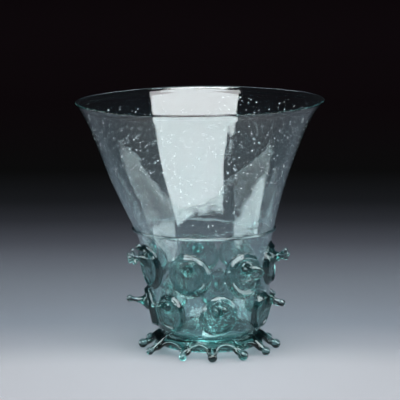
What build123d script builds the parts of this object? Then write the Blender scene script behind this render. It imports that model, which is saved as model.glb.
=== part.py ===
from build123d import *
import math
import os

# A free-blown berkemeyer of green forest glass, in millimetres and degrees. Z is up, the table is Z = 0 and
# the front faces -Y. The rim is centred on the Z axis. An azimuth runs from the front towards +X.

# Heights, each measured from the level below it
base_height = 5.5  # table to the underside of the blown vessel
lower_row_rise = 18.5  # underside to the middle of the lower prunts
upper_row_rise = 20.3  # lower prunts to the middle of the upper prunts
waist_rise = 13.7  # upper prunts to the bend where the bowl opens
bowl_rise = 72.0  # bend to the top of the lip

# The blown vessel, measured outside
waist_radius = 33.9
body_taper = 0.09  # how much the body widens for each millimetre up
corner_height = 25.5  # height of the rounded turn into the base
corner_depth = 8.2  # how far that turn draws in
bend_softness = 3.0  # height over which the waist bends
rim_radius = 64.4
rim_flare = 3.6  # extra spread of the lip beyond the straight cone
flare_height = 25.0
flare_power = 3.0  # how late the lip turns out
foot_offset = 4.9  # how far the crooked body stands to the right of the rim
offset_start = 25.0  # height above the table where the body starts to lean
offset_height = 70.0  # height over which it leans
bowl_sway = 0.85  # how far the bowl bows past the rim, the other way
rim_tilt = 0.75  # the lip runs this much up to the right
section_step = 7.0  # spacing of the slices that the wall is drawn through
corner_slices = 7

# Glass thickness
bowl_wall = 1.2
body_wall = 1.8
wall_change = 18.0  # height above the bend over which the wall thins
lip_radius = 0.8  # rounding of the fire-polished lip
floor_wall = 3.0
kick_radius = 16.5  # pushed-in base, at the underside
kick_height = 7.5
pontil_radius = 6.2
pontil_scar = 0.8  # the scar's broken edge

# The thread of glass laid round the waist, and the drip where its ends meet
thread_rise = 5.6  # bend to the middle of the thread at its last end
thread_radius = 1.05
thread_bite = 0.45  # how far the soft thread sank into the wall's outline
thread_start = 131.0  # azimuth of both ends
thread_drop = 3.8  # the first end lies this much lower
thread_slices = 24
drip_height = 6.3  # half of its length
drip_width = 1.5
drip_thickness = 1.7

# Prunts: blobs pressed flat on the wall, each with its tail drawn out and nipped off
upper_pad_width = 11.6  # half widths and heights
upper_pad_height = 12.1
lower_pad_width = 10.0
lower_pad_height = 10.6
pad_thickness = 2.3
pad_depth = 2.4  # how far inside the wall's outline a pad's blob is centred
peak_radius = 4.6
peak_rise = 3.8  # the tail is drawn from this far above the middle of the pad
neck_radius = 1.1
tail_length = 8.4  # from the face of the pad
tail_slices = 5
tip_radius = 1.75
near_angle = 65.0  # prunts closer than this may press on each other

# Foot: a trail wound under the base and pinched out into toes
foot_ring_radius = 25.2
foot_ring_height = 7.9
foot_ring_width = 4.5  # half widths of its slice
foot_ring_thickness = 2.9
foot_slope = 34.0
toe_reach = 34.4  # foot axis to the middle of the toe's ball
toe_ball_radius = 2.4
toe_root_reach = 26.5
toe_root_height = 6.6
toe_root_width = 6.2
toe_root_thickness = 2.5
toe_neck_radius = 1.6
toe_neck_share = 0.72  # how far out the toe is thinnest
toe_flat = 0.35  # how much of each ball is worn flat

lower_row_height = base_height + lower_row_rise
upper_row_height = lower_row_height + upper_row_rise
waist_height = upper_row_height + waist_rise
height = waist_height + bowl_rise
lip_height = height - lip_radius
corner_top = base_height + corner_height

# Each prunt: azimuth, rise above its row, size, and where its tail's tip leans, to the right and up
upper_prunts = [
    (-65.0, 1.4, 1.00, -3.0, 3.2),
    (-17.0, -0.4, 1.00, -1.3, 5.2),
    (35.0, -0.8, 1.00, 1.6, 1.8),
    (79.0, 1.8, 0.96, -0.6, 3.4),
    (150.0, -0.4, 0.94, 0.8, 1.0),
    (188.0, -0.8, 0.95, 1.0, 1.4),
    (238.0, 0.8, 1.00, -1.0, 1.6),
]
lower_prunts = [
    (-86.0, -1.2, 1.04, 0.0, 3.2),
    (-41.0, -0.9, 0.94, -0.2, 4.2),
    (9.0, -1.5, 1.02, 1.0, 5.0),
    (62.0, -1.0, 0.94, 4.4, 2.2),
    (123.0, 0.2, 0.96, 1.4, 0.4),
    (170.0, -0.2, 1.00, -0.8, 1.4),
    (222.0, -0.4, 1.00, 1.2, 1.6),
]

# Each toe: azimuth, and how much further out than the rest it reaches
toes = [
    (-90.0, 0.2),
    (-61.0, 0.6),
    (-23.5, 0.0),
    (2.4, 0.0),
    (29.5, 0.2),
    (58.0, -0.2),
    (88.0, 0.2),
    (116.0, 0.0),
    (142.0, 0.3),
    (168.0, -0.2),
    (194.0, 0.1),
    (219.0, 0.4),
    (244.0, 0.0),
]


def smooth_step(value):
    """0 below 0, 1 above 1, and an even S between."""
    share = min(1.0, max(0.0, value))
    return share * share * (3.0 - 2.0 * share)


def soft_ramp(value):
    """Rises in step with a value above 0, bending softly from level."""
    return bend_softness * math.log1p(math.exp(value / bend_softness))


def flare_share(z):
    """How much of the lip's flare is reached, from 0 below it to 1 at the rim."""
    return max(0.0, (z - height + flare_height) / flare_height) ** flare_power


def body_radius(z):
    """Outside radius with no turn at the base."""
    taper = waist_radius + body_taper * (z - waist_height)
    top_taper = waist_radius + body_taper * bowl_rise
    opening = (rim_radius - rim_flare - top_taper) * soft_ramp(z - waist_height) / soft_ramp(bowl_rise)
    return taper + opening + rim_flare * flare_share(z)


def turn_depth(z, lowest):
    """How far the rounded turn draws the wall in, when it ends at the lowest level."""
    share = min(1.0, max(0.0, corner_top - z) / (corner_top - lowest))
    return corner_depth * (1.0 - math.sqrt(1.0 - share * share))


def wall_radius(z):
    """Outside radius of the vessel."""
    return body_radius(z) - turn_depth(z, base_height)


def inner_radius(z):
    """Inside radius of the vessel, down to its floor."""
    thick_share = 1.0 - smooth_step((z - waist_height) / wall_change)
    wall = bowl_wall + (body_wall - bowl_wall) * thick_share
    return body_radius(z) - turn_depth(z, base_height + floor_wall) - wall


def axis_x(z):
    """Where the middle of the crooked vessel lies at a height."""
    lean = foot_offset * (1.0 - smooth_step((z - offset_start) / offset_height))
    return lean - bowl_sway * smooth_step(2.0 * (z - waist_height) / bowl_rise) * (1.0 - flare_share(z))


def slice_plane(z):
    """The plane of a slice through the vessel, turned with the lip towards the top."""
    turn = math.radians(rim_tilt * smooth_step((z - waist_height) / bowl_rise))
    return Plane((axis_x(z), 0, z), z_dir=(-math.sin(turn), 0, math.cos(turn)))


def slice_heights(lowest):
    """Levels of the slices: closer together round the turn and even above it."""
    turn = [corner_top - (corner_top - lowest) * math.sin(math.radians(90.0 * i / corner_slices))
            for i in range(corner_slices, -1, -1)]
    count = round((lip_height - corner_top) / section_step)
    step = (lip_height - corner_top) / count
    return turn + [corner_top + step * (i + 1) for i in range(count)]


def blown_solid(lowest, radius_at):
    """A filled shape drawn through round slices."""
    return loft([slice_plane(z) * Circle(radius_at(z)) for z in slice_heights(lowest)])


def wall_frame(azimuth, z):
    """A plane on the outside of the wall: Z straight out of it, X to the right, Y up the wall."""
    angle = math.radians(azimuth)
    slope = math.atan(wall_radius(z + 0.5) - wall_radius(z - 0.5))
    across = wall_radius(z)
    origin = (axis_x(z) + across * math.sin(angle), -across * math.cos(angle), z)
    outward = (math.sin(angle) * math.cos(slope), -math.cos(angle) * math.cos(slope), -math.sin(slope))
    return Plane(origin, x_dir=(math.cos(angle), math.sin(angle), 0), z_dir=outward)


def blob(half_width, half_height, half_depth):
    """An egg shape round the origin, with its poles above and below and its seam at the back."""
    egg = scale(Sphere(1.0), by=(half_depth, half_width, half_height))
    return Plane((0, 0, 0), x_dir=(0, 0, -1), z_dir=(0, 1, 0)) * egg


def make_vessel(outside):
    """Bowl, body and base in one bubble of glass, with a rounded lip and a pushed-in base."""
    ball_radius = (kick_radius**2 + kick_height**2) / (2.0 * kick_height)
    ball_place = Pos(foot_offset, 0, base_height + kick_height - ball_radius)
    inside = blown_solid(base_height + floor_wall, inner_radius)
    inside = inside - ball_place * Sphere(ball_radius + floor_wall)
    lip = slice_plane(lip_height) * Torus(rim_radius - lip_radius, lip_radius)
    scar_height = math.sqrt(ball_radius**2 - pontil_radius**2)
    scar = ball_place * Pos(0, 0, scar_height) * Torus(pontil_radius, pontil_scar)
    return outside - inside - ball_place * Sphere(ball_radius) + lip + scar


def thread_point(share):
    """A point on the middle of the thread, from its first end at 0 to its last at 1."""
    z = waist_height + thread_rise - thread_drop * (1.0 - share) ** 6
    angle = math.radians(thread_start + 360.0 * share)
    reach = wall_radius(z) + thread_radius - thread_bite
    return Vector(axis_x(z) + reach * math.sin(angle), -reach * math.cos(angle), z)


def make_waist_thread(outside):
    """One turn of round thread, and the drip where its two ends run together."""
    slices = []
    for i in range(thread_slices + 1):
        share = i / thread_slices
        along = thread_point(share + 0.01) - thread_point(share - 0.01)
        slices.append(Plane(thread_point(share), z_dir=along) * Circle(thread_radius))
    drip_middle = waist_height + thread_rise - thread_drop / 2.0
    drip = wall_frame(thread_start, drip_middle) * blob(drip_width, drip_height, drip_thickness)
    return loft(slices) + drip - outside


def make_tail(lean_right, lean_up):
    """The drawn-out tail, from a wide root in the pad to a little ball."""
    start = pad_thickness / 3.0
    reach = pad_thickness + tail_length - start
    slices = []
    for i in range(tail_slices):
        share = i / (tail_slices - 1)
        middle = (lean_right * share**2, peak_rise + lean_up * share**2, start + reach * share)
        along = (2.0 * lean_right * share, 2.0 * lean_up * share, reach)
        radius = neck_radius + (peak_radius - neck_radius) * (1.0 - share) ** 4
        slices.append(Plane(middle, x_dir=(1, 0, -along[0] / reach), z_dir=along) * Circle(radius))
    return loft(slices) + Pos(*middle) * Sphere(tip_radius)


def make_prunt(row_height, half_width, half_height, place):
    """A pad pressed on the wall, thickest in its middle, with its tail."""
    azimuth, rise, size, lean_right, lean_up = place
    depth = pad_thickness + pad_depth
    spread = 1.0 / math.sqrt(1.0 - (pad_depth / depth) ** 2)
    pad = Pos(0, 0, -pad_depth) * blob(half_width * size, half_height * size * spread, depth)
    return wall_frame(azimuth, row_height + rise) * (pad + make_tail(lean_right, lean_up))


def close_by(azimuth, pieces):
    """The pieces at azimuths near enough to touch."""
    return [solid for other, solid in pieces if abs((azimuth - other + 180.0) % 360.0 - 180.0) < near_angle]


def make_row(row_height, half_width, half_height, places, beneath, other_row):
    """One row of prunts, each pressed up to the glass that was there before it."""
    row = []
    for place in places:
        prunt = make_prunt(row_height, half_width, half_height, place)
        for earlier in beneath + close_by(place[0], row + other_row):
            prunt = prunt - earlier
        row.append((place[0], prunt))
    return row


def make_toe(azimuth, extra_reach):
    """One pinched toe: wide at the ring, a thin neck, and a ball on the table."""
    root = (toe_root_reach, toe_root_height)
    ball = (toe_reach + extra_reach, toe_ball_radius - toe_flat)
    neck = tuple(a + (b - a) * toe_neck_share for a, b in zip(root, ball))
    half = tuple((a + b) / 2.0 for a, b in zip(root, neck))
    slope = (ball[0] - root[0], 0, ball[1] - root[1])
    widths = (toe_root_width, (toe_root_width + 2 * toe_neck_radius) / 3.0, toe_neck_radius)
    depths = (toe_root_thickness, (toe_root_thickness + toe_neck_radius) / 2.0, toe_neck_radius)
    slices = []
    for (reach, level), wide, deep in zip((root, half, neck), widths, depths):
        slices.append(Plane((reach, 0, level), x_dir=(0, 1, 0), z_dir=slope) * Ellipse(wide, deep))
    slices.append(Plane((ball[0], 0, ball[1]), x_dir=(0, 1, 0), z_dir=slope) * Circle(toe_neck_radius))
    toe = loft(slices) + Pos(ball[0], 0, ball[1]) * Sphere(toe_ball_radius)
    return Rot(0, 0, azimuth - 90.0) * toe


def make_foot_ring(outside):
    """The wound trail with its toes, cut to the base above and worn flat below."""
    slice_place = Plane((foot_ring_radius, 0, foot_ring_height), x_dir=(1, 0, 0), z_dir=(0, -1, 0))
    ring_slice = slice_place * Rot(0, 0, -foot_slope) * Ellipse(foot_ring_width, foot_ring_thickness)
    foot = revolve(ring_slice, Axis.Z)
    for azimuth, extra_reach in toes:
        foot += make_toe(azimuth, extra_reach)
    table = Pos(0, 0, -height / 2.0) * Box(height, height, height)
    return Pos(foot_offset, 0, 0) * (foot - table) - outside


def save(node, solid):
    """Writes one named piece."""
    print(node, "solids", len(solid.solids()), "volume", round(solid.volume, 1))
    export_step(solid, "parts/" + node + ".step")


def main():
    os.makedirs("parts", exist_ok=True)
    outside = blown_solid(base_height, wall_radius)
    foot = make_foot_ring(outside)
    thread = make_waist_thread(outside)
    lower_row = make_row(lower_row_height, lower_pad_width, lower_pad_height, lower_prunts,
                         [outside, foot], [])
    upper_row = make_row(upper_row_height, upper_pad_width, upper_pad_height, upper_prunts,
                         [outside, thread], lower_row)
    save("vessel", make_vessel(outside))
    save("waist_thread", thread)
    save("foot_ring", foot)
    for name, row in (("lower_prunt_", lower_row), ("upper_prunt_", upper_row)):
        for number, (azimuth, prunt) in enumerate(row, 1):
            save(name + str(number), prunt)


if __name__ == "__main__":
    main()
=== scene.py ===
import bpy
import math
import random
from mathutils import Matrix, Vector, noise


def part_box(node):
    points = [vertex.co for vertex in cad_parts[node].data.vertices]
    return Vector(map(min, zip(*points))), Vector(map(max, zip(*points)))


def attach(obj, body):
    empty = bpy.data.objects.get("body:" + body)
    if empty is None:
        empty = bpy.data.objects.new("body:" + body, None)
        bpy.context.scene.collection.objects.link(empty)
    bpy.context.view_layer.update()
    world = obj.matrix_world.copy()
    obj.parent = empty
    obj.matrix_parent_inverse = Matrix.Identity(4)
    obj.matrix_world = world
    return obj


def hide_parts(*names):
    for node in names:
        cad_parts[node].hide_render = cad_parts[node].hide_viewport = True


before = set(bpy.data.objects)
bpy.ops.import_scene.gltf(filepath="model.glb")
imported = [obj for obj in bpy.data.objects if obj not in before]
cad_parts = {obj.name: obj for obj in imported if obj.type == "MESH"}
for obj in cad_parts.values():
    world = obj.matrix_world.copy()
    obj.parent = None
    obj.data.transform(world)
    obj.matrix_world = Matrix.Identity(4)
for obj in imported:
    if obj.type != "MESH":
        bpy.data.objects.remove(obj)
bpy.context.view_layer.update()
mm = 0.001  # the scene is in metres, the sizes below are noted in millimetres


# Small tools

def deselectEverything():
    if bpy.context.object and bpy.context.object.mode != "OBJECT":
        bpy.ops.object.mode_set(mode="OBJECT")
    bpy.ops.object.select_all(action="DESELECT")


def pick(*objects):
    deselectEverything()
    for thing in objects:
        thing.select_set(True)
    bpy.context.view_layer.objects.active = objects[0]


def applyModifier(piece, kind, **settings):
    pick(piece)
    modifier = piece.modifiers.new(kind.title(), kind)
    for name, value in settings.items():
        setattr(modifier, name, value)
    bpy.ops.object.modifier_apply(modifier=modifier.name)


def settle(piece):  # place into the mesh, object back at the origin
    pick(piece)
    bpy.ops.object.transform_apply(location=True, rotation=True, scale=True)


def joined(name, pieces):
    for piece in pieces:
        settle(piece)
    pick(*pieces)
    if len(pieces) > 1:
        bpy.ops.object.join()
    pieces[0].name = name
    pieces[0].data.name = name
    return pieces[0]


def facingOut(piece, mergeDistance):
    pick(piece)
    bpy.ops.object.mode_set(mode="EDIT")
    bpy.ops.mesh.select_all(action="SELECT")
    bpy.ops.mesh.remove_doubles(threshold=mergeDistance)
    bpy.ops.mesh.normals_make_consistent(inside=False)
    bpy.ops.object.mode_set(mode="OBJECT")
    bpy.ops.object.shade_smooth()


def ringStack(name, rings, segments):
    # one ring after another, (centre, radius), between two closed poles
    centre, radius = rings[0]
    deselectEverything()
    bpy.ops.mesh.primitive_circle_add(vertices=segments, radius=radius, fill_type="TRIFAN", location=centre)
    piece = bpy.context.object
    piece.name = name
    settle(piece)
    bpy.ops.object.mode_set(mode="EDIT")
    bpy.ops.mesh.select_all(action="SELECT")
    bpy.ops.mesh.region_to_loop()
    for newCentre, newRadius in rings[1:]:
        step = Vector(newCentre) - Vector(centre)
        bpy.ops.mesh.extrude_region_move(TRANSFORM_OT_translate={"value": step})
        bpy.ops.transform.resize(value=(newRadius / radius,) * 3, center_override=newCentre)
        centre, radius = newCentre, newRadius
    bpy.ops.mesh.merge(type="CENTER")
    bpy.ops.object.mode_set(mode="OBJECT")
    return piece


def tubeAlong(name, points, radii, around, steps, closed=False):
    # a bevelled smooth curve, made a mesh
    deselectEverything()
    line = bpy.data.curves.new(name, "CURVE")
    line.dimensions = "3D"
    spline = line.splines.new("NURBS")
    spline.points.add(len(points) - 1)
    for point, place, radius in zip(spline.points, points, radii):
        point.co = (*place, 1.0)
        point.radius = radius
    spline.order_u = 3
    spline.use_endpoint_u = not closed
    spline.use_cyclic_u = closed
    spline.resolution_u = steps
    line.bevel_depth = 1.0
    line.bevel_resolution = around
    line.use_fill_caps = not closed
    piece = bpy.data.objects.new(name, line)
    bpy.context.scene.collection.objects.link(piece)
    pick(piece)
    bpy.ops.object.convert(target="MESH")
    return bpy.context.object


def meltTogether(piece, voxel, rounds):
    applyModifier(piece, "REMESH", mode="VOXEL", voxel_size=voxel, use_smooth_shade=True)
    applyModifier(piece, "SMOOTH", factor=0.5, iterations=rounds)
    facingOut(piece, 0.001 * mm)


def finishPiece(piece, slot, material, *nodes):
    piece.data.materials.clear()
    piece.data.materials.append(material)
    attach(piece, "root")
    if nodes:
        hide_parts(*nodes)


def smoothStep(value):
    share = min(1.0, max(0.0, value))
    return share * share * (3.0 - 2.0 * share)


# The blown shape: its outline follows the frame's own box

vesselLow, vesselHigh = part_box("vessel")
blown = {
    "baseHeight": vesselLow.z,
    "rimRadius": (vesselHigh.x - vesselLow.x) / 2,
    "lipHeight": 129.1 * mm,
    "rimHeight": 130.0 * mm,
    "waistHeight": 58.0 * mm,
    "waistRadius": 33.9 * mm,
    "taper": 0.09,
    "turnHeight": 25.5 * mm,
    "turnDepth": 8.2 * mm,
    "bend": 3.0 * mm,
    "flare": 3.6 * mm,
    "flareHeight": 25.0 * mm,
    "footOffset": 4.9 * mm,
    "leanFrom": 25.0 * mm,
    "leanOver": 70.0 * mm,
    "sway": 0.85 * mm,
    "rimTilt": math.radians(0.75),
    "bowlWall": 1.2 * mm,
    "bodyWall": 1.8 * mm,
    "floorWall": 3.0 * mm,
    "thinFrom": 40.0 * mm,
    "thinOver": 16.0 * mm,
    "lip": 0.9 * mm,
    "lipBlend": 2.0 * mm,
    "kickRadius": 16.5 * mm,
    "kickHeight": 7.5 * mm,
    "segments": 256,
    "kickSteps": 16,
    "outerTurnSteps": 18,
    "innerTurnSteps": 22,
    "wallSteps": 62,
    "lipSteps": 6,
}
bowlRise = blown["rimHeight"] - blown["waistHeight"]
turnTop = blown["baseHeight"] + blown["turnHeight"]


def softRamp(value):
    return blown["bend"] * math.log1p(math.exp(value / blown["bend"]))


def flareShare(z):
    return max(0.0, (z - blown["rimHeight"] + blown["flareHeight"]) / blown["flareHeight"]) ** 3


def bodyRadius(z):
    taper = blown["waistRadius"] + blown["taper"] * (z - blown["waistHeight"])
    top = blown["waistRadius"] + blown["taper"] * bowlRise
    opening = blown["rimRadius"] - blown["flare"] - top
    opened = opening * softRamp(z - blown["waistHeight"]) / softRamp(bowlRise)
    return taper + opened + blown["flare"] * flareShare(z)


def turnDepth(z, lowest):
    share = min(1.0, max(0.0, turnTop - z) / (turnTop - lowest))
    return blown["turnDepth"] * (1.0 - math.sqrt(1.0 - share * share))


def wallRadius(z):
    return bodyRadius(z) - turnDepth(z, blown["baseHeight"])


def innerRadius(z):
    thick = 1.0 - smoothStep((z - blown["thinFrom"]) / blown["thinOver"])
    wall = blown["bowlWall"] + (blown["bodyWall"] - blown["bowlWall"]) * thick
    return bodyRadius(z) - turnDepth(z, blown["baseHeight"] + blown["floorWall"]) - wall


def axisX(z):
    lean = blown["footOffset"] * (1.0 - smoothStep((z - blown["leanFrom"]) / blown["leanOver"]))
    bowed = smoothStep(2.0 * (z - blown["waistHeight"]) / bowlRise) * (1.0 - flareShare(z))
    return lean - blown["sway"] * bowed


def wallFrame(azimuth, z):
    # a matrix on the outside of the wall: X to the right, Y up, Z straight out
    slope = math.atan((wallRadius(z + 0.5 * mm) - wallRadius(z - 0.5 * mm)) / mm)
    flat = math.cos(slope)
    out = Vector((math.sin(azimuth) * flat, -math.cos(azimuth) * flat, -math.sin(slope)))
    right = Vector((math.cos(azimuth), math.sin(azimuth), 0))
    up = out.cross(right)
    reach = wallRadius(z)
    origin = Vector((axisX(z) + reach * math.sin(azimuth), -reach * math.cos(azimuth), z))
    return Matrix.Translation(origin) @ Matrix((right, up, out)).transposed().to_4x4()


def wrapOnWall(piece, azimuth, height):
    # bends a flat piece round the wall: X along it, Y up it, Z out of it
    step = 0.25 * mm
    steps = 79  # enough to pass the edge of the tallest pad
    levels = {0: height}
    for way in (1, -1):
        z = height
        for i in range(1, steps + 1):
            slope = math.atan((wallRadius(z + step) - wallRadius(z - step)) / (2 * step))
            z = max(blown["baseHeight"] + step, z + way * step * math.cos(slope))
            levels[way * i] = z
    for vertex in piece.data.vertices:
        along = vertex.co.y / step
        low = math.floor(along)
        z = levels[low] + (levels[low + 1] - levels[low]) * (along - low)
        place = wallFrame(azimuth + vertex.co.x / wallRadius(z), z)
        vertex.co = place @ Vector((0, 0, vertex.co.z))


# Materials

class Socket:
    def __init__(self, kit, link):
        self.kit, self.link = kit, link

    def math(self, operation, *others):
        return self.kit.node("ShaderNodeMath", {"operation": operation}, [self, *others])

    def __add__(self, other):
        return self.math("ADD", other)

    def __radd__(self, other):
        return self.math("ADD", other)

    def __sub__(self, other):
        return self.math("SUBTRACT", other)

    def __rsub__(self, other):
        return self.kit.node("ShaderNodeMath", {"operation": "SUBTRACT"}, [other, self])

    def __mul__(self, other):
        return self.math("MULTIPLY", other)

    def __rmul__(self, other):
        return self.math("MULTIPLY", other)

    def __truediv__(self, other):
        return self.math("DIVIDE", other)

    def __pow__(self, other):
        return self.math("POWER", other)


class NodeKit:
    def __init__(self, name):
        self.material = bpy.data.materials.new(name)
        self.material.use_nodes = True
        self.tree = self.material.node_tree
        self.tree.nodes.clear()

    def node(self, kind, settings=None, inputs=(), output=0):
        made = self.tree.nodes.new(kind)
        for name, value in (settings or {}).items():
            if name == "stops":
                while len(made.color_ramp.elements) < len(value):
                    made.color_ramp.elements.new(1.0)
                for element, (place, colour) in zip(made.color_ramp.elements, value):
                    element.position = place
                    element.color = colour
            else:
                setattr(made, name, value)
        pairs = inputs.items() if isinstance(inputs, dict) else enumerate(inputs)
        for key, value in pairs:
            if isinstance(value, Socket):
                self.tree.links.new(value.link, made.inputs[key])
            elif value is not None:
                made.inputs[key].default_value = value
        return Socket(self, made.outputs[output])

    def place(self, stretch=(1, 1, 1)):
        where = self.node("ShaderNodeTexCoord", output="Object")
        return self.node("ShaderNodeMapping", inputs={"Vector": where, "Scale": stretch})

    def noise(self, where, scale, detail=2.0, distortion=0.0):
        return self.node("ShaderNodeTexNoise", inputs={"Vector": where, "Scale": scale, "Detail": detail,
                                                       "Distortion": distortion})

    def finish(self, surface, volume=None):
        output = self.tree.nodes.new("ShaderNodeOutputMaterial")
        self.tree.links.new(surface.link, output.inputs["Surface"])
        if volume:
            self.tree.links.new(volume.link, output.inputs["Volume"])
        return self.material


# what all the glass shares
glassLook = {
    "ior": 1.54,
    "streaks": [(0.3, (0.94, 0.985, 0.98)), (0.7, (0.985, 1.0, 1.0))],  # places and colours of a ramp
    "polish": 0.012,  # roughness where it is cleanest
    "smear": 0.035,  # and how much more there is where it is worn
    "density": 150.0,  # absorption per metre at the strongest colour
    "absorbed": (0.14, 0.60, 0.585, 1.0),
    "shadowAbsorbed": (0.52, 0.60, 0.62, 1.0),
    "shadowTint": (0.95, 0.95, 0.95, 1.0),
    "haze": (0.45, 0.80, 1.0, 1.0),  # old glass is never quite clear
    "hazeFrom": 125.0 * mm,  # it thickens from here down
    "hazeTo": 65.0 * mm,
    "deepFrom": 60.0 * mm,  # the glass darkens from here down
    "deepTo": 12.0 * mm,
}


# what tells the four glasses apart: two sizes of waves and how high they are, how strong the green
# is, how clear the skin is, how it darkens low down, and how much haze lies on it. Waves and depths are
# as the noise and the bump take them: waves per metre, and metres
glassKinds = {
    "vessel_glass": {"slow": 90.0, "slowDepth": 0.02 * mm, "quick": 480.0, "quickDepth": 0.022 * mm,
                     "stretch": (1, 1, 1.4), "strength": 0.5, "clear": 1.0,
                     "deepTint": (0.70, 0.82, 0.81, 1), "haze": 0.014},
    "thread_glass": {"slow": 160.0, "slowDepth": 0.03 * mm, "quick": 600.0, "quickDepth": 0.005 * mm,
                     "stretch": (1, 1, 1), "strength": 1.0, "clear": 1.0,
                     "deepTint": (1, 1, 1, 1), "haze": 0.002},
    "prunt_glass": {"slow": 260.0, "slowDepth": 0.05 * mm, "quick": 900.0, "quickDepth": 0.006 * mm,
                    "stretch": (1, 1, 1), "strength": 2.0, "clear": 0.82,
                    "deepTint": (1, 1, 1, 1), "haze": 0.002},
    "foot_glass": {"slow": 200.0, "slowDepth": 0.03 * mm, "quick": 800.0, "quickDepth": 0.005 * mm,
                   "stretch": (1, 1, 1), "strength": 2.1, "clear": 0.76,
                   "deepTint": (1, 1, 1, 1), "haze": 0.002},
}


def glassTint(kit, kind, height):
    # streaks of a slightly different green, darker low down
    stops = []
    for place, colour in glassLook["streaks"]:
        stops.append((place, (*(kind["clear"] * part for part in colour), 1)))
    streaks = kit.noise(kit.place((1, 1, 0.25)), 60.0, 3.0)
    tint = kit.node("ShaderNodeValToRGB", {"stops": stops}, [streaks])
    low = (glassLook["deepFrom"] - height) / (glassLook["deepFrom"] - glassLook["deepTo"])
    return kit.node("ShaderNodeMix", {"data_type": "RGBA", "blend_type": "MULTIPLY"},
                    {0: low, 6: tint, 7: kind["deepTint"]}, output=2)


def glassVolume(kit, strength, shadow):
    # shadows are greyer than the glass itself
    volumes = []
    for colour in ("absorbed", "shadowAbsorbed"):
        volumes.append(kit.node("ShaderNodeVolumeAbsorption", inputs={
            "Color": glassLook[colour], "Density": glassLook["density"] * strength}))
    return kit.node("ShaderNodeMixShader", inputs=[shadow, *volumes])


def forestGlass(name):
    kit = NodeKit(name)
    kind = glassKinds[name]
    where = kit.place(kind["stretch"])
    slow = kit.noise(where, kind["slow"], 3.0, 0.4) * (kind["slowDepth"] / kind["quickDepth"])
    waves = slow + kit.noise(where, kind["quick"], 2.0, 0.3)
    smear = kit.noise(kit.place(), 38.0, 4.0)
    height = kit.node("ShaderNodeSeparateXYZ", inputs=[kit.place()], output="Z")
    settled = kit.node("ShaderNodeMapRange",
                       inputs=[height, glassLook["hazeFrom"], glassLook["hazeTo"], 0.1, 1.0])
    glass = kit.node("ShaderNodeBsdfPrincipled", inputs={
        "Base Color": glassTint(kit, kind, height),
        "Roughness": glassLook["polish"] + glassLook["smear"] * (smear ** 3.0),
        "IOR": glassLook["ior"],
        "Transmission Weight": 1.0,
        "Normal": kit.node("ShaderNodeBump", inputs={"Strength": 1.0, "Distance": kind["quickDepth"],
                                                     "Height": waves}),
    })
    bloom = kit.node("ShaderNodeBsdfDiffuse", inputs={"Color": glassLook["haze"]})
    hazy = kit.node("ShaderNodeMixShader", inputs=[settled * smear * kind["haze"], glass, bloom])
    see = kit.node("ShaderNodeBsdfTransparent", inputs={"Color": glassLook["shadowTint"]})
    shadow = kit.node("ShaderNodeLightPath", output="Is Shadow Ray")
    surface = kit.node("ShaderNodeMixShader", inputs=[shadow, hazy, see])
    return kit.finish(surface, glassVolume(kit, kind["strength"], shadow))


vesselGlass, threadGlass, pruntGlass, footGlass = [forestGlass(name) for name in glassKinds]
print("materials ready")


# Vessel: rings from the pushed-in base, up the outside, over the lip and down the inside

def kickLevel(radius, rise):
    ball = (blown["kickRadius"] ** 2 + blown["kickHeight"] ** 2) / (2 * blown["kickHeight"])
    return blown["baseHeight"] + blown["kickHeight"] - ball + math.sqrt((ball + rise) ** 2 - radius ** 2)


def wallLevel(i):
    return turnTop + (blown["lipHeight"] - turnTop) * i / blown["wallSteps"]


def turnLevel(lowest, i, steps):
    return turnTop - (turnTop - lowest) * math.sin(math.pi / 2 * i / steps)


def vesselRings():
    kickSteps, lipSteps = blown["kickSteps"], blown["lipSteps"]
    outerSteps, innerSteps = blown["outerTurnSteps"], blown["innerTurnSteps"]
    wallSteps = blown["wallSteps"]
    rings = []
    for i in range(1, kickSteps + 1):
        radius = blown["kickRadius"] * i / kickSteps
        rings.append((blown["footOffset"], radius, kickLevel(radius, 0)))
    outside = [turnLevel(blown["baseHeight"], i, outerSteps) for i in range(outerSteps, -1, -1)]
    outside += [wallLevel(i) for i in range(1, wallSteps + 1)]
    for z in outside:
        rings.append((axisX(z), wallRadius(z), z))
    middle = blown["rimRadius"] - blown["lip"]
    for i in range(1, lipSteps + 1):
        turn = math.pi * i / (lipSteps + 1)
        radius = middle + blown["lip"] * math.cos(turn)
        rings.append((0.0, radius, blown["lipHeight"] + blown["lip"] * math.sin(turn)))
    thicker = blown["lip"] * 2 - blown["bowlWall"]
    for i in range(wallSteps, -1, -1):
        z = wallLevel(i)
        blend = smoothStep((z - blown["lipHeight"] + blown["lipBlend"]) / blown["lipBlend"])
        rings.append((axisX(z), innerRadius(z) - thicker * blend, z))
    floor = blown["baseHeight"] + blown["floorWall"]
    for i in range(1, innerSteps + 1):
        z = turnLevel(floor, i, innerSteps)
        rings.append((axisX(z), innerRadius(z), z))
    lastRadius = rings[-1][1]
    for i in range(kickSteps, 0, -1):
        radius = lastRadius * i / (kickSteps + 1)
        rings.append((blown["footOffset"], radius, max(floor, kickLevel(radius, blown["floorWall"]))))
    return [(Vector((x, 0, z)), radius) for x, radius, z in rings]


# how far the blowing is out of true: how much, how many times round, from where, and the twist per metre
unevenShape = {
    "pushes": [(0.22 * mm, 2, 0.7, 0), (0.14 * mm, 3, 2.1, 30)],
    "lowShare": 0.4,  # what is left of it in the body
    "lipSway": (0.18 * mm, 4, 1.3),
    "slowWaves": (16 * mm, 0.15 * mm),  # size and height
    "quickWaves": (5 * mm, 0.025 * mm),
}


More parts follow.
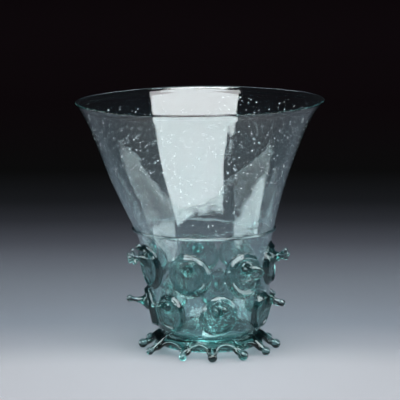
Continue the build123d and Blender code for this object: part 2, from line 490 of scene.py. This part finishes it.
def blownUnevenness(piece):
    # out of round, and the lip runs up to the right
    swayDepth, swayTimes, swayFrom = unevenShape["lipSway"]
    for vertex in piece.data.vertices:
        x, y, z = vertex.co
        turn = math.atan2(x, -y)
        grow = smoothStep((z - blown["waistHeight"]) / bowlRise)
        push = sum(depth * math.sin(times * turn + offset + twist * z)
                   for depth, times, offset, twist in unevenShape["pushes"])
        push *= unevenShape["lowShare"] + grow
        sway = swayDepth * grow * math.sin(swayTimes * turn + swayFrom)
        vertex.co.x += push * math.sin(turn)
        vertex.co.y -= push * math.cos(turn)
        vertex.co.z += x * math.tan(blown["rimTilt"] * grow) + sway


def rippled(piece, name, scale, strength, direction):
    texture = bpy.data.textures.new(name, "CLOUDS")
    texture.noise_scale = scale
    texture.noise_depth = 1
    applyModifier(piece, "DISPLACE", texture=texture, texture_coords="LOCAL", strength=strength,
                  mid_level=0.5, direction=direction)


seedShape = {
    "count": 1300,
    "smallest": 0.16 * mm,
    "largest": 0.34 * mm,
    "strewnShare": 0.25,  # these lie anywhere, the others in the bowl
    "strewn": (14, 126),  # lowest and highest, in millimetres
    "bowl": (62, 128, 116),  # lowest, highest and the most common height, in millimetres
    "longest": 1.6,  # as a share of the size, along the wall
    "flat": 0.85,
    "frost": 0.35,
}


def makeSeeds():
    # bubbles of air caught in the middle of the wall
    s = seedShape
    rng = random.Random(21)
    deselectEverything()
    bpy.ops.mesh.primitive_uv_sphere_add(segments=8, ring_count=5, radius=1)
    first = bpy.context.object
    seeds = []
    for i in range(s["count"]):
        strewn = rng.random() < s["strewnShare"]
        z = (rng.uniform(*s["strewn"]) if strewn else rng.triangular(*s["bowl"])) * mm
        turn = rng.uniform(0, 2 * math.pi)
        size = s["smallest"] + (s["largest"] - s["smallest"]) * rng.random() ** 2
        inWall = Matrix.Translation((0, 0, (innerRadius(z) - wallRadius(z)) / 2))
        shape = Matrix.Diagonal((size * rng.uniform(1, s["longest"]), size, size * s["flat"], 1))
        seed = first.copy()
        seed.data = first.data.copy()
        bpy.context.scene.collection.objects.link(seed)
        seed.data.transform(wallFrame(turn, z) @ inWall @ shape)
        seeds.append(seed)
    bpy.data.objects.remove(first)
    pick(*seeds)
    bpy.ops.object.join()
    piece = bpy.context.object
    piece.name = "seed_bubbles"
    bpy.ops.object.shade_smooth()
    return piece


def seedAir():
    # air seen from inside the glass, with a skin that is dull in places
    kit = NodeKit("seed_air")
    speck = kit.noise(kit.place(), 900.0)
    skin = kit.node("ShaderNodeBsdfGlass", inputs={
        "Color": (1, 1, 1, 1), "Roughness": 0.16 + 0.2 * speck, "IOR": 1 / glassLook["ior"]})
    glint = kit.node("ShaderNodeBsdfDiffuse", inputs={"Color": (0.80, 0.88, 0.92, 1)})
    frosted = kit.node("ShaderNodeMixShader", inputs=[speck * seedShape["frost"], skin, glint])
    see = kit.node("ShaderNodeBsdfTransparent", inputs={"Color": (0.97, 0.97, 0.97, 1)})
    shadow = kit.node("ShaderNodeLightPath", output="Is Shadow Ray")
    return kit.finish(kit.node("ShaderNodeMixShader", inputs=[shadow, frosted, see]))


vessel = ringStack("blown_vessel", vesselRings(), blown["segments"])
facingOut(vessel, 0.001 * mm)
seeds = makeSeeds()
for piece in (vessel, seeds):
    blownUnevenness(piece)
    rippled(piece, "slow_waves", *unevenShape["slowWaves"], "RGB_TO_XYZ")
rippled(vessel, "quick_waves", *unevenShape["quickWaves"], "NORMAL")
finishPiece(vessel, "vessel_glass", vesselGlass, "vessel")
finishPiece(seeds, "vessel_glass", seedAir())
print("vessel", len(vessel.data.polygons), "faces, seeds", len(seeds.data.polygons), "faces")


# Thread round the waist, and the drip where its ends meet

threadShape = {
    "radius": 0.85 * mm,
    "bite": 0.35 * mm,
    "start": math.radians(131),
    "rise": 5.6 * mm,
    "drop": 3.8 * mm,
    "points": 40,
    "voxel": 0.28 * mm,
    # up the wall from the middle of the drop, half width, half height and half thickness, in millimetres
    "drips": [(0.2, 1.5, 4.0, 1.5), (4.6, 0.8, 2.6, 0.9), (-3.6, 1.2, 2.4, 1.3)],
}


def threadPlace(share):
    t = threadShape
    z = blown["waistHeight"] + t["rise"] - t["drop"] * (1.0 - share) ** 6
    angle = t["start"] + 2 * math.pi * share
    reach = wallRadius(z) + t["radius"] - t["bite"]
    return Vector((axisX(z) + reach * math.sin(angle), -reach * math.cos(angle), z))


def makeThread():
    t = threadShape
    count = t["points"]
    rng = random.Random(4)
    radii = [t["radius"] * (1 + rng.uniform(-0.10, 0.10)) for i in range(count + 1)]
    places = [threadPlace(i / count) for i in range(count + 1)]
    thread = tubeAlong("thread", places, radii, 4, 6)
    middle = blown["waistHeight"] + t["rise"] - t["drop"] / 2
    drips = []
    for up, wide, tall, thick in t["drips"]:
        deselectEverything()
        bpy.ops.mesh.primitive_uv_sphere_add(segments=24, ring_count=16, radius=1)
        drip = bpy.context.object
        drip.scale = (wide * mm, tall * mm, thick * mm)
        settle(drip)
        drip.data.transform(wallFrame(t["start"], middle) @ Matrix.Translation((0, up * mm, 0)))
        drips.append(drip)
    piece = joined("waist_thread_glass", [thread, *drips])
    meltTogether(piece, t["voxel"], 5)
    return piece


waistThread = makeThread()
finishPiece(waistThread, "thread_glass", threadGlass, "waist_thread")
print("thread", len(waistThread.data.polygons), "faces")


# Prunts: a pad with a raised edge and ripples round its root, drawn out into a nipped and curled tail

padShape = {
    "segments": 96,
    "rings": 26,
    "outermost": 0.97,  # the rings on top run from this share of the width in
    "innermost": 0.02,
    "thickness": 2.3 * mm,
    "rootRise": 3.8 * mm,
    "edge": [(0.30, -0.26), (0.62, -0.26), (0.93, -0.22), (0.99, -0.08), (1.0, 0.06), (0.99, 0.16)],
    "dish": 0.66,  # heights below are shares of the thickness
    "rim": 0.44,
    "rimPlace": 0.80,  # share of the way out
    "rimWidth": 0.12,
    "rimFall": 0.04,
    "edgeHeight": 0.24,
    "cone": 1.5,
    "coneRadius": 2.6 * mm,
    "ripple": 0.085,
    "rippleStep": 1.6 * mm,
    "rippleSide": 0.4,  # how much fainter they are on one side
    "rippleIn": (1.8 * mm, 1.6 * mm),  # from the root: where they start, and over how far
    "rippleOut": (6.5 * mm, 3.5 * mm),
    "voxel": 0.25 * mm,
    "lumpSize": 3.0 * mm,
    "lumps": 0.14 * mm,
    "relief": 0.26 * mm,
    "reliefSize": 2.4 * mm,
    "reliefTo": 0.72,  # share of the way out
    "reliefFade": 0.14,
    "unevenHeight": 0.12,
    "unevenOutline": 0.03,
}

# azimuth, rise above the row, size, which way the ripples lie, how strong the lumps are,
# then the strands of the tail: where each goes (right, up, out) and how thick it is there
upperPrunts = [
    (-65.0, 1.4, 1.00, 150, 1.0, [
        [(0, 3.6, 1.2, 4.2), (0, 4.6, 3.0, 2.4), (-0.2, 5.4, 5.0, 1.4), (-0.5, 5.9, 6.6, 1.3)],
        [(-0.5, 5.9, 6.2, 1.0), (-0.8, 8.0, 7.4, 0.9), (-1.0, 9.8, 8.2, 1.05)],
        [(-0.5, 5.9, 6.2, 1.0), (-1.2, 7.2, 8.6, 0.85), (-1.6, 8.0, 10.4, 1.0)],
        [(-0.4, 5.9, 6.2, 1.0), (0.0, 6.4, 8.8, 0.85), (0.2, 6.5, 10.9, 1.0)],
        [(-0.5, 5.9, 6.2, 1.0), (-0.6, 5.2, 8.6, 0.85), (-0.6, 4.6, 10.3, 1.0)],
        [(-0.4, 5.8, 6.2, 1.0), (0.2, 4.4, 7.4, 0.9), (0.4, 3.4, 8.2, 1.0)]]),
    (-17.0, -0.4, 1.00, 40, 1.0, [
        [(0.2, 4.2, 2.4, 2.8), (0.4, 6.0, 4.8, 1.7), (0.6, 6.8, 7.4, 1.6)],
        [(-0.6, 6.2, 7.4, 0.9), (-1.3, 8.9, 9.6, 1.1)],
        [(0.2, 6.2, 7.4, 0.9), (0.8, 7.9, 10.4, 1.2)],
        [(0.8, 6.4, 7.4, 0.9), (2.5, 9.0, 10.2, 1.1)],
        [(1.2, 6.4, 7.2, 0.9), (4.2, 9.5, 9.8, 1.0)],
        [(1.4, 6.4, 7.0, 0.9), (3.6, 8.2, 8.4, 0.8), (5.7, 9.9, 9.2, 1.0)],
        [(-0.2, 6.0, 7.2, 0.9), (-1.3, 5.6, 9.0, 1.1)],
        [(0.8, 6.0, 7.2, 0.9), (2.5, 5.9, 9.4, 1.1)]]),
    (35.0, -0.8, 1.00, -60, 1.0, [
        [(-1.4, 4.0, 2.2, 2.6), (-1.2, 4.8, 5.0, 2.1), (0.4, 5.2, 7.2, 1.7), (2.2, 5.2, 8.8, 1.65),
         (3.6, 3.8, 9.2, 1.6), (3.4, 1.4, 8.2, 1.4), (1.8, 0.0, 6.6, 1.2)]]),
    (79.0, 1.8, 0.96, 150, 1.0, [
        [(0, 3.4, 1.0, 4.2), (0.2, 3.8, 2.8, 2.8), (0.2, 4.4, 4.6, 2.0), (0.2, 4.9, 6.0, 1.6)],
        [(-0.4, 4.8, 4.4, 1.2), (-0.6, 6.4, 6.2, 0.95), (-0.6, 7.9, 7.6, 1.15)],
        [(0.2, 4.6, 5.0, 1.2), (0.2, 5.2, 6.8, 0.95), (0.2, 5.9, 8.7, 1.15)],
        [(0.8, 4.0, 4.4, 1.2), (0.8, 3.9, 6.2, 0.95), (0.8, 3.9, 8.2, 1.1)]]),
    (150.0, -0.4, 0.94, 20, 0.8, [
        [(0.1, 3.9, 2.2, 2.6), (0.2, 4.4, 5.4, 1.4), (0.6, 4.8, 8.0, 1.2), (1.0, 5.0, 9.4, 1.6),
         (2.2, 4.2, 10.0, 1.4)]]),
    (188.0, -0.8, 0.95, 200, 0.8, [
        [(0.1, 3.9, 2.2, 2.6), (0.4, 4.4, 5.4, 1.4), (0.8, 4.8, 7.8, 1.2), (1.2, 5.4, 9.2, 1.5),
         (-0.4, 6.4, 9.8, 1.4)]]),
    (238.0, 0.8, 1.00, 300, 0.8, [
        [(-0.1, 3.9, 2.2, 2.6), (-0.4, 4.6, 5.4, 1.4), (-0.9, 5.2, 7.8, 1.2), (-1.2, 5.6, 9.2, 1.6),
         (0.6, 5.0, 9.8, 1.4)]]),
]
lowerPrunts = [
    (-86.0, -1.2, 1.04, 150, 1.0, [
        [(0, 2.4, 0.6, 4.6), (0, 3.2, 2.4, 3.2), (0, 3.9, 4.0, 2.1), (0, 4.5, 5.6, 1.5),
         (0, 5.0, 7.4, 1.25), (0, 5.7, 9.0, 1.25), (0, 6.2, 10.1, 1.8)]]),
    (-41.0, -0.9, 0.94, 60, 1.0, [
        [(-0.6, 4.2, 2.2, 2.5), (-0.8, 6.2, 5.0, 1.5), (-1.2, 7.6, 7.8, 1.3), (-1.8, 8.0, 9.8, 1.5)],
        [(-0.4, 6.0, 5.0, 1.2), (0.8, 6.6, 7.2, 1.2), (1.7, 6.9, 8.6, 1.4)]]),
    (9.0, -1.5, 1.02, 30, 1.9, [
        [(0.5, 4.0, 2.2, 2.6), (0.8, 5.8, 5.0, 1.6), (1.2, 7.4, 7.8, 1.4), (1.2, 8.2, 9.8, 1.6)]]),
    (62.0, -1.0, 0.94, -40, 1.0, [
        [(0.2, 4.2, 1.0, 3.2), (0.2, 6.2, 2.8, 2.2), (0.2, 7.8, 4.2, 1.7)],
        [(0.3, 6.6, 3.4, 1.8), (0.8, 7.1, 5.4, 1.3), (1.3, 6.9, 7.4, 1.2), (1.8, 6.5, 9.6, 1.85)],
        [(0.4, 6.0, 3.6, 1.5), (1.0, 5.7, 6.0, 1.05), (1.4, 5.5, 7.8, 1.1)]]),
    (123.0, 0.2, 0.96, 10, 0.8, [
        [(0.2, 3.8, 2.2, 2.4), (1.0, 3.4, 5.4, 1.4), (1.3, 2.8, 7.8, 1.2), (1.4, 2.2, 9.6, 1.6),
         (0.8, 1.8, 10.2, 1.4)]]),
    (170.0, -0.2, 1.00, 250, 0.8, [
        [(-0.1, 3.9, 2.2, 2.4), (-0.4, 4.4, 5.4, 1.4), (-0.6, 5.0, 7.8, 1.1), (-0.8, 5.2, 9.4, 1.6)]]),
    (222.0, -0.4, 1.00, 120, 0.8, [
        [(0.1, 3.9, 2.2, 2.4), (0.5, 4.4, 5.4, 1.4), (0.9, 5.0, 7.8, 1.1), (1.2, 5.4, 9.4, 1.6)]]),
]
upperPad = {"name": "upper_prunt", "height": 44.3 * mm, "width": 11.6 * mm, "tall": 12.1 * mm}
lowerPad = {"name": "lower_prunt", "height": 24.0 * mm, "width": 10.0 * mm, "tall": 10.6 * mm}


def padHeight(x, y, width, tall, rippleTurn, lumpy, seed):
    p = padShape
    out = math.hypot(x / width, y / tall)
    root = math.hypot(x, y - p["rootRise"])
    turn = math.atan2(y - p["rootRise"], x) - rippleTurn
    rim = p["rim"] * math.exp(-((out - p["rimPlace"]) / p["rimWidth"]) ** 2)
    past = (out - p["rimPlace"] + p["rimFall"]) / (1.0 + p["rimFall"] - p["rimPlace"])
    fall = 1.0 - (1.0 - p["edgeHeight"]) * smoothStep(past)
    cone = p["cone"] * math.exp(-(root / p["coneRadius"]) ** 2)
    fadeIn, fadeOut = (smoothStep((root - p[end][0]) / p[end][1]) for end in ("rippleIn", "rippleOut"))
    side = 1.0 - p["rippleSide"] + p["rippleSide"] * math.cos(turn)
    ripple = p["ripple"] * math.sin(2 * math.pi * root / p["rippleStep"]) * fadeIn * (1.0 - fadeOut) * side
    inside = smoothStep((p["reliefTo"] - out) / p["reliefFade"])
    relief = p["relief"] * lumpy * noise.noise(Vector((x, y, seed)) / p["reliefSize"]) * inside
    return p["thickness"] * (p["dish"] + rim + cone + ripple) * fall + relief


def makePrunt(row, number, azimuth, rise, size, rippleTurn, lumpy, strands):
    p = padShape
    azimuth = math.radians(azimuth)
    height = row["height"] + rise * mm
    width = row["width"] * size
    tall = row["tall"] * size
    name = row["name"] + "_" + str(number)
    across = p["outermost"] - p["innermost"]
    shares = [(across * (1.0 - i / p["rings"]) + p["innermost"], 1.0) for i in range(p["rings"])]
    rings = [(Vector((0, 0, level * p["thickness"])), width * share) for share, level in p["edge"] + shares]
    pad = ringStack(name + "_pad", rings, p["segments"])
    rng = random.Random(number * 7 + len(row["name"]) + round(height * 1e6))
    phases = [rng.uniform(0, 6.28) for i in range(3)]
    for vertex in pad.data.vertices:
        turn = math.atan2(vertex.co.y, vertex.co.x)
        reach = math.hypot(vertex.co.x, vertex.co.y) / width
        vertex.co.y *= tall / width
        if vertex.co.z > 0.5 * p["thickness"]:
            x, y, z = vertex.co
            vertex.co.z = padHeight(x, y, width, tall, math.radians(rippleTurn), lumpy, phases[0])
            vertex.co.z *= 1 + p["unevenHeight"] * math.sin(2 * turn + phases[2]) * reach
        swell = math.sin(2 * turn + phases[0]) + 0.7 * math.sin(3 * turn + phases[1])
        vertex.co.x *= 1 + p["unevenOutline"] * reach * swell
        vertex.co.y *= 1 + p["unevenOutline"] * reach * swell
    wrapOnWall(pad, azimuth, height)
    place = wallFrame(azimuth, height)
    parts = [pad]
    for strand in strands:
        points = [place @ (Vector(spot[:3]) * mm) for spot in strand]
        radii = [spot[3] * mm for spot in strand]
        parts.append(tubeAlong(name + "_strand", points, radii, 4, 6))
        deselectEverything()
        bpy.ops.mesh.primitive_uv_sphere_add(segments=20, ring_count=14, radius=radii[-1],
                                             location=points[-1])
        parts.append(bpy.context.object)
    piece = joined(name + "_glass", parts)
    meltTogether(piece, p["voxel"], 4)
    rippled(piece, name + "_lumps", p["lumpSize"], p["lumps"], "NORMAL")
    finishPiece(piece, "prunt_glass", pruntGlass, name)
    return piece


for row, prunts in ((upperPad, upperPrunts), (lowerPad, lowerPrunts)):
    for number, place in enumerate(prunts, 1):
        prunt = makePrunt(row, number, *place)
        print(prunt.name, len(prunt.data.polygons), "faces")


# Foot: a wound ring pinched out into toes, with a thick edge that arches from toe to toe

footShape = {
    "inner": (21.4, 10.7),  # reach and height where the skirt starts, in millimetres, as below
    "toeEdge": (31.3, 3.4),
    "archEdge": (27.9, 7.1),
    "archWidth": 0.40,  # half, as a share of the gap between two toes
    "halfThickness": 1.3,
    "squareness": 0.65,  # of the skirt's slice: 1 is round, and less has fuller corners
    "wound": (24.9, 5.0, 2.1),  # reach, height and thickness of the ring under the skirt
    "bead": 1.2,
    "beadShares": (0.0, 0.10, 0.125, 0.17, 0.25, 0.37, 0.5, 0.63, 0.75, 0.83, 0.875, 0.90),
    # reach, height and thickness along a toe
    "toe": [(25.0, 8.4, 2.0), (28.0, 6.5, 2.1), (30.6, 4.6, 2.0), (32.6, 3.1, 1.75)],
    "reach": 34.4 * mm,
    "ball": 2.6 * mm,
    "voxel": 0.31 * mm,
}
# azimuth, extra reach and size of each ball
toes = [
    (-90.0, 0.2, 0.92), (-61.0, 0.6, 0.77), (-23.5, 0.0, 0.80), (2.4, 0.0, 0.94), (29.5, 0.2, 1.04),
    (58.0, -0.2, 0.86), (88.0, 0.2, 0.95), (116.0, 0.0, 0.9), (142.0, 0.3, 1.0), (168.0, -0.2, 0.9),
    (194.0, 0.1, 0.96), (219.0, 0.4, 1.0), (244.0, 0.0, 0.9),
]


def footPoint(azimuth, reach, height):
    turn = math.radians(azimuth)
    return Vector((blown["footOffset"] + reach * math.sin(turn), -reach * math.cos(turn), height))


def gapAfter(number):
    # degrees from one toe to the next
    return (toes[(number + 1) % len(toes)][0] - toes[number][0]) % 360


def edgePlace(azimuth):
    # reach and height of the edge, which rises in a round arch between two toes
    f = footShape
    for number, toe in enumerate(toes):
        share = (azimuth - toe[0]) % 360 / gapAfter(number)
        if share < 1:
            arch = math.sqrt(max(0.0, 1.0 - ((share - 0.5) / f["archWidth"]) ** 2))
            return [low + (high - low) * arch for low, high in zip(f["toeEdge"], f["archEdge"])]


def makeFoot():
    f = footShape
    deselectEverything()
    bpy.ops.mesh.primitive_torus_add(major_radius=2, minor_radius=1, major_segments=416, minor_segments=20)
    skirt = bpy.context.object
    for vertex in skirt.data.vertices:
        azimuth = math.degrees(math.atan2(vertex.co.x, -vertex.co.y))
        across = math.hypot(vertex.co.x, vertex.co.y) - 2
        along, up = (math.copysign(abs(part) ** f["squareness"], part) for part in (across, vertex.co.z))
        reach, level = edgePlace(azimuth)
        halfReach, halfDrop = (reach - f["inner"][0]) / 2, (level - f["inner"][1]) / 2
        up *= f["halfThickness"] / math.hypot(halfReach, halfDrop)
        reach += halfReach * (along - 1) - halfDrop * up
        level += halfDrop * (along - 1) + halfReach * up
        vertex.co = footPoint(azimuth, reach * mm, level * mm)
    reach, level, thick = (part * mm for part in f["wound"])
    deselectEverything()
    bpy.ops.mesh.primitive_torus_add(major_radius=reach, minor_radius=thick, major_segments=128,
                                     minor_segments=16, location=(blown["footOffset"], 0, level))
    parts = [skirt, bpy.context.object]
    bead = []
    for number, (azimuth, extra, size) in enumerate(toes):
        for share in f["beadShares"]:
            between = azimuth + gapAfter(number) * share
            reach, level = edgePlace(between)
            bead.append(footPoint(between, reach * mm, level * mm))
        ball = f["ball"] * size
        points = [footPoint(azimuth, along * mm, level * mm) for along, level, thick in f["toe"]]
        radii = [thick * mm * math.sqrt(size) for along, level, thick in f["toe"]]
        points.append(footPoint(azimuth, f["reach"] + extra * mm, ball))
        radii.append(radii[-1])
        parts.append(tubeAlong("toe", points, radii, 4, 8))
        deselectEverything()
        bpy.ops.mesh.primitive_uv_sphere_add(segments=24, ring_count=16, radius=ball, location=points[-1])
        parts.append(bpy.context.object)
    parts.append(tubeAlong("toe_edge", bead, [f["bead"] * mm] * len(bead), 4, 4, closed=True))
    piece = joined("foot_ring_glass", parts)
    meltTogether(piece, f["voxel"], 4)
    for vertex in piece.data.vertices:
        vertex.co.z = max(0.0, vertex.co.z)  # worn flat on the table
    return piece


foot = makeFoot()
finishPiece(foot, "foot_glass", footGlass, "foot_ring")
print("foot", len(foot.data.polygons), "faces")


# Floor: a painted pool of light, pale round the glass and darker further off

floorLook = {
    "size": 14,
    "drop": 0.2 * mm,
    "roughness": 0.9,
    "middle": (0.0, -0.12, 0.0),
    "reach": 2.5,
    "squeeze": (0.45, 1.0, 0.0),  # the painted pool of light is wider than deep
    # metres from the middle, grey, red and blue against it: painted light that falls off away from the
    # glass
    "stops": [(0.0, 0.2143, 0.965, 1.057), (0.09, 0.1966, 0.965, 1.057), (0.135, 0.1440, 0.93, 1.10),
              (0.1875, 0.1096, 0.888, 1.153), (0.24, 0.0940, 0.89, 1.15), (0.30, 0.0800, 0.89, 1.15),
              (0.3675, 0.0594, 0.90, 1.17), (0.435, 0.0340, 0.92, 1.20), (0.5175, 0.0152, 0.92, 1.20),
              (0.60, 0.0067, 0.92, 1.16), (0.75, 0.0027, 1.0, 1.0), (1.2, 0.0034, 1.6, 1.25),
              (1.6, 0.0064, 1.6, 1.25), (2.5, 0.016, 1.6, 1.25)],
}


def makeFloor():
    look = floorLook
    deselectEverything()
    bpy.ops.mesh.primitive_plane_add(size=look["size"], location=(0, 0, -look["drop"]))
    floor = bpy.context.object
    floor.name = "table_top"
    settle(floor)
    kit = NodeKit("table_paper_painted_light")
    where = kit.node("ShaderNodeTexCoord", output="Object")
    centred = kit.node("ShaderNodeVectorMath", {"operation": "SUBTRACT"}, [where, look["middle"]])
    squeezed = kit.node("ShaderNodeVectorMath", {"operation": "MULTIPLY"}, [centred, look["squeeze"]])
    away = kit.node("ShaderNodeVectorMath", {"operation": "LENGTH"}, [squeezed], output="Value")
    stops = []
    for far, grey, red, blue in look["stops"]:
        stops.append((far / look["reach"], (grey * red, grey, grey * blue, 1)))
    # painted light: the floor's colour is a pale pool round the glass that darkens further off, standing in
    # for how the lamps' light falls
    colour = kit.node("ShaderNodeValToRGB", {"stops": stops}, [away / look["reach"]])
    paper = kit.node("ShaderNodeBsdfPrincipled", inputs={
        "Base Color": colour, "Roughness": look["roughness"], "Specular IOR Level": 0.0})
    floor.data.materials.append(kit.finish(paper))


worldLook = {"colour": (0.90, 0.88, 1.0, 1), "strength": 0.01}


def makeWorld():
    world = bpy.data.worlds.new("studio")
    bpy.context.scene.world = world
    world.use_nodes = True
    back = world.node_tree.nodes["Background"]
    back.inputs["Color"].default_value = worldLook["colour"]
    back.inputs["Strength"].default_value = worldLook["strength"]


# Lamps: a broad soft panel leaning over the glass in front, one overhead, and a low card on each side

lampShape = {
    "width": 0.82,  # the panel's places below are shares of this
    "level": 0.09,
    "lean": 0.339,
    "forward": (0.687, 0.70),  # how far in front of the glass it is, and at what height
    "panels": {"panel_low": (-0.60, 0.12, 0.435, 0.66), "panel_step": (0.12, 1.00, 0.475, 0.66),
               "panel_high": (-0.78, 1.00, 0.66, 1.55)},
    "panelRadiance": 8.5,
    "overhead": ((0, -0.02, 1.0), 0.50, 0.28, 16.0),  # place, width, depth, radiance
    "tint": (0.96, 0.975, 1.0),
    # azimuth it faces from, distance, ends along it, bottom, top, radiance
    "cards": {"card_right": (50, 0.6, 0.106, 1.18, 0.03, 0.37, 4.1),
              "card_left": (-80, 0.6, -0.39, 0.29, 0.03, 0.25, 5.2)},
}


def makeLamp(name, middle, facing, width, height, radiance):
    lamp = bpy.data.lights.new(name, "AREA")
    lamp.shape = "RECTANGLE"
    lamp.size, lamp.size_y = width, height
    lamp.energy = radiance * math.pi * width * height
    lamp.color = lampShape["tint"]
    holder = bpy.data.objects.new(name, lamp)
    holder.location = middle
    holder.rotation_euler = (-facing).to_track_quat("Z", "Y").to_euler()
    holder.visible_camera = False
    bpy.context.scene.collection.objects.link(holder)


def makeLamps():
    a = lampShape
    across = a["width"]
    slant = math.hypot(1.0, a["lean"])
    front, frontHeight = a["forward"]
    for name, (left, right, bottom, top) in a["panels"].items():
        rise = (bottom + top) / 2
        forward = front - a["lean"] * (rise - frontHeight)
        middle = Vector(((left + right) / 2 * across, -forward * across, a["level"] + rise * across))
        width, height = (right - left) * across, (top - bottom) * slant * across
        makeLamp(name, middle, Vector((0, 1, -a["lean"])), width, height, a["panelRadiance"])
    place, wide, deep, radiance = a["overhead"]
    makeLamp("overhead", Vector(place), Vector((0, 0, -1)), wide, deep, radiance)
    for name, (azimuth, distance, start, end, bottom, top, radiance) in a["cards"].items():
        turn = math.radians(azimuth)
        out = Vector((math.sin(turn), -math.cos(turn), 0))
        along = Vector((math.cos(turn), math.sin(turn), 0))
        middle = out * distance + along * (start + end) / 2 + Vector((0, 0, (bottom + top) / 2))
        makeLamp(name, middle, -out, end - start, top - bottom, radiance)


# metres, radians, and the focal length and the width of the picture in pixels
cameraLook = {"distance": 1.2, "height": 0.27206, "down": 0.1603, "focal": 2351.85, "frame": 400,
              "sensor": 36, "farthest": 30}


def makeCamera():
    look = cameraLook
    camera = bpy.data.cameras.new("view")
    camera.sensor_width = look["sensor"]
    camera.lens = look["focal"] * look["sensor"] / look["frame"]
    camera.clip_end = look["farthest"]
    holder = bpy.data.objects.new("view", camera)
    holder.location = (0, -look["distance"], look["height"])
    holder.rotation_euler = (math.pi / 2 - look["down"], 0, 0)
    bpy.context.scene.collection.objects.link(holder)
    bpy.context.scene.camera = holder


makeFloor()
makeWorld()
makeLamps()
makeCamera()
bpy.context.scene.view_settings.view_transform = "Standard"
print("stage ready")
